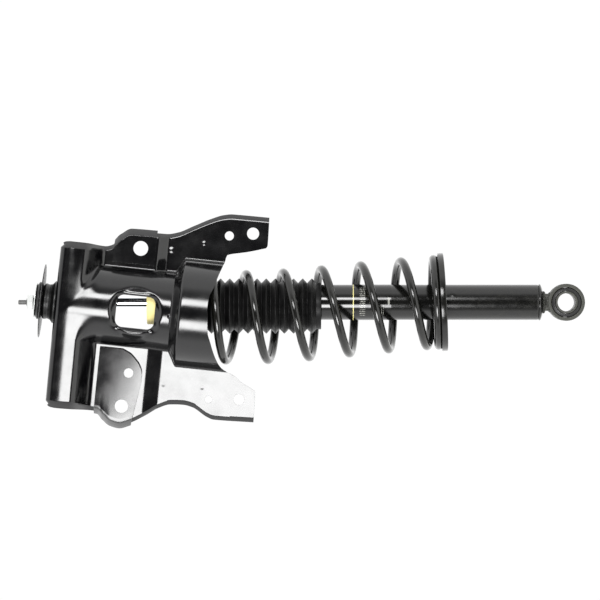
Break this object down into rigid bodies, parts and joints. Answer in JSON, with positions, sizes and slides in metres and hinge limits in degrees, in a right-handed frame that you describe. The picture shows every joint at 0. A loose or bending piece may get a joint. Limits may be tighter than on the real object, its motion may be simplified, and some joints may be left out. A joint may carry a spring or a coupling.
{
  "type": "rear strut assembly",
  "caption": "Coil-over strut: pressed steel top bracket with two arms and bolt ears, rubber-clamped rod, offset coil spring, bellows boot, damper tube and eye.",
  "frame": {"origin": "where the damper rod's axis crosses the outer face of the bracket's crown, the centre of the top mount", "axes": "+Z along the damper rod towards the top mount, +X towards the bracket's long upper arm, +Y towards the vehicle body, away from the bracket's bulged outer side"},
  "size_m": [0.2724, 0.1295, 0.7198],
  "materials": {
    "black_ecoat": "gloss",
    "black_paint": "satin",
    "spring_coating": "satin",
    "black_rubber": "matte",
    "chromed_steel": "polished",
    "zinc_plate": "satin",
    "bare_steel": "satin",
    "sintered_iron": "matte",
    "urethane_foam": "matte"
  },
  "bodies": {
    "bracket": {"tower_shell": "black_ecoat", "upper_ear_plate": "black_ecoat", "lower_ear_plate": "black_ecoat", "crown_plate": "black_ecoat", "dust_shield": "black_ecoat", "upper_spring_seat": "black_ecoat", "upper_spring_pad": "black_rubber", "upper_bush": "black_rubber", "top_bush": "black_rubber", "lower_bush": "black_rubber", "upper_cup_washer": "zinc_plate", "lower_cup_washer": "zinc_plate", "bush_spacer": "zinc_plate", "rod_nut": "zinc_plate", "piston_rod": "chromed_steel", "rebound_stop": "bare_steel", "piston": "sintered_iron", "piston_nut": "bare_steel", "bump_stop": "urethane_foam", "dust_boot": "black_rubber", "coil_spring": "spring_coating"},
    "damper_body": {"reserve_tube": "black_paint", "tube_cap": "bare_steel", "rod_seal": "black_rubber", "rod_guide": "sintered_iron", "pressure_tube": "bare_steel", "foot_valve": "sintered_iron", "base_cap": "black_paint", "lower_eye": "black_paint", "eye_bush": "black_rubber", "lower_spring_seat": "black_paint", "lower_spring_pad": "black_rubber"},
    "eye_sleeve": {"eye_sleeve": "black_paint"}
  },
  "joints": [
    {"name": "strut_stroke", "type": "slide", "parent": "bracket", "child": "damper_body", "axis": [0, 0, 1], "range_m": [0, 0.13], "stiffness_N_per_m": 17800, "springref_m": -0.05, "deforming": ["coil_spring", "bump_stop"]},
    {"name": "eye_sleeve_twist", "type": "hinge", "parent": "damper_body", "child": "eye_sleeve", "pos_m": [0, 0, -0.648], "axis": [0, 1, 0], "range_deg": [-15, 15], "stiffness_Nm_per_rad": 20}
  ]
}
